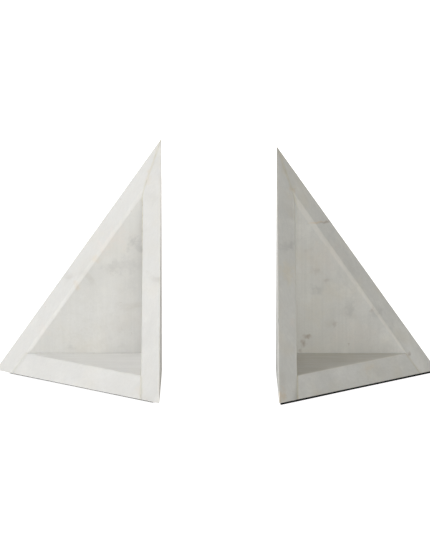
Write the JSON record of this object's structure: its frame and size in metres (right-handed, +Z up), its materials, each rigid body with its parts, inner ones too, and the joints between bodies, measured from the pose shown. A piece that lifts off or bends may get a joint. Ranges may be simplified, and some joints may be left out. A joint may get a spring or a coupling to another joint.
{
  "type": "book ends",
  "caption": "Pair of book ends shaped as open pyramid corners, each made of joined triangular marble slabs on a foam foot pad.",
  "frame": {"origin": "on the shelf, at the middle of the pair's bounding box", "axes": "+Z up, +X along the row of books from the left book end to the right one, -Y towards the front, where the corners are open"},
  "size_m": [0.342, 0.127, 0.1827],
  "materials": {
    "marble": "honed",
    "epoxy": "satin",
    "foam": "matte",
    "adhesive": "matte"
  },
  "bodies": {
    "left_book_end": {"left_side_panel": "marble", "left_back_panel": "marble", "left_base_panel": "marble", "left_seam_back_side": "epoxy", "left_seam_base_side": "epoxy", "left_seam_base_back": "epoxy", "left_foot_pad": "foam", "left_pad_adhesive": "adhesive"},
    "right_book_end": {"right_side_panel": "marble", "right_back_panel": "marble", "right_base_panel": "marble", "right_seam_back_side": "epoxy", "right_seam_base_side": "epoxy", "right_seam_base_back": "epoxy", "right_foot_pad": "foam", "right_pad_adhesive": "adhesive"}
  },
  "joints": [
    {"name": "spread", "type": "slide", "parent": "left_book_end", "child": "right_book_end", "axis": [1, 0, 0], "range_m": [-0.088, 0.3115]}
  ]
}
